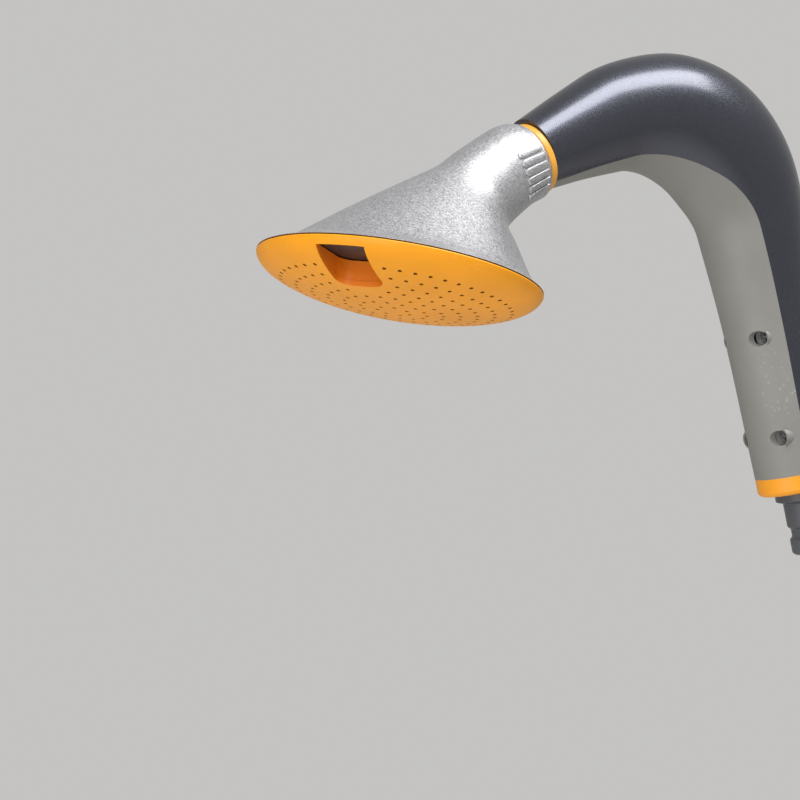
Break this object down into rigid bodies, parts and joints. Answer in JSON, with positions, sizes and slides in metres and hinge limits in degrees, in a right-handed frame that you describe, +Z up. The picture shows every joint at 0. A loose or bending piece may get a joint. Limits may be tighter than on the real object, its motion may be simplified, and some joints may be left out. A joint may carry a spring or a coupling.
{
  "type": "watering wand",
  "caption": "Hand-held watering wand: domed spray rose on a swivel neck, arched two-tone body with thumb flow knob and swivelling hose inlet.",
  "frame": {"origin": "middle of the hose inlet's sealing land, on its axis", "axes": "+Z up with the spray face level and pointing down, +X from the rose towards the handle's back, +Y across"},
  "size_m": [0.2526, 0.1, 0.1725],
  "materials": {
    "shell_silver": "moulded ABS, silver metal-flake lacquer",
    "orange_plastic": "moulded ABS, orange, satin",
    "ring_orange": "moulded ABS, orange",
    "orange_cap": "moulded polypropylene, orange",
    "black_plastic": "moulded acetal, black",
    "body_graphite": "moulded ABS, graphite metallic lacquer",
    "body_grey": "moulded polypropylene, warm grey",
    "tube_white": "moulded polypropylene, natural",
    "seat_white": "turned PTFE",
    "nipple_grey": "moulded acetal, grey",
    "rubber": "nitrile rubber",
    "steel": "stainless steel",
    "brass": "turned brass"
  },
  "bodies": {
    "handle": {"body_upper": "body_graphite", "body_lower": "body_grey", "body_screws": "steel", "end_cap": "orange_cap", "neck_ring": "ring_orange", "neck_spigot": "black_plastic", "neck_orings": "rubber", "neck_clip": "steel", "water_tube": "tube_white", "tube_oring": "rubber", "valve_housing": "black_plastic", "valve_cap": "black_plastic", "valve_seats": "seat_white", "stem_oring": "rubber", "inlet_tube": "tube_white", "inlet_filter": "steel", "nipple_clip": "steel"},
    "rose": {"rose_shell": "shell_silver", "port_plate": "black_plastic", "plate_screws": "steel", "face_seal": "rubber"},
    "face": {"face_plate": "orange_plastic", "face_clip": "steel"},
    "flow_valve": {"valve_ball": "brass", "valve_stem": "brass", "flow_knob": "orange_plastic", "knob_screw": "steel"},
    "nipple": {"hose_nipple": "nipple_grey", "nipple_oring": "rubber"}
  },
  "joints": [
    {"name": "rose_turn", "type": "hinge", "parent": "handle", "child": "rose", "pos_m": [-0.15109, 0, 0.10887], "axis": [0.809, 0, 0.5878], "continuous": true},
    {"name": "face_turn", "type": "hinge", "parent": "rose", "child": "face", "pos_m": [-0.19429, 0, 0.05627], "axis": [0, 0, 1], "range_deg": [-36, 0]},
    {"name": "flow_turn", "type": "hinge", "parent": "handle", "child": "flow_valve", "pos_m": [-0.04588, 0, 0.10305], "axis": [0.9135, 0, 0.4067], "range_deg": [0, 90]},
    {"name": "hose_swivel", "type": "hinge", "parent": "handle", "child": "nipple", "pos_m": [-0.00834, 0, 0.01873], "axis": [0.4067, 0, -0.9135], "continuous": true}
  ]
}
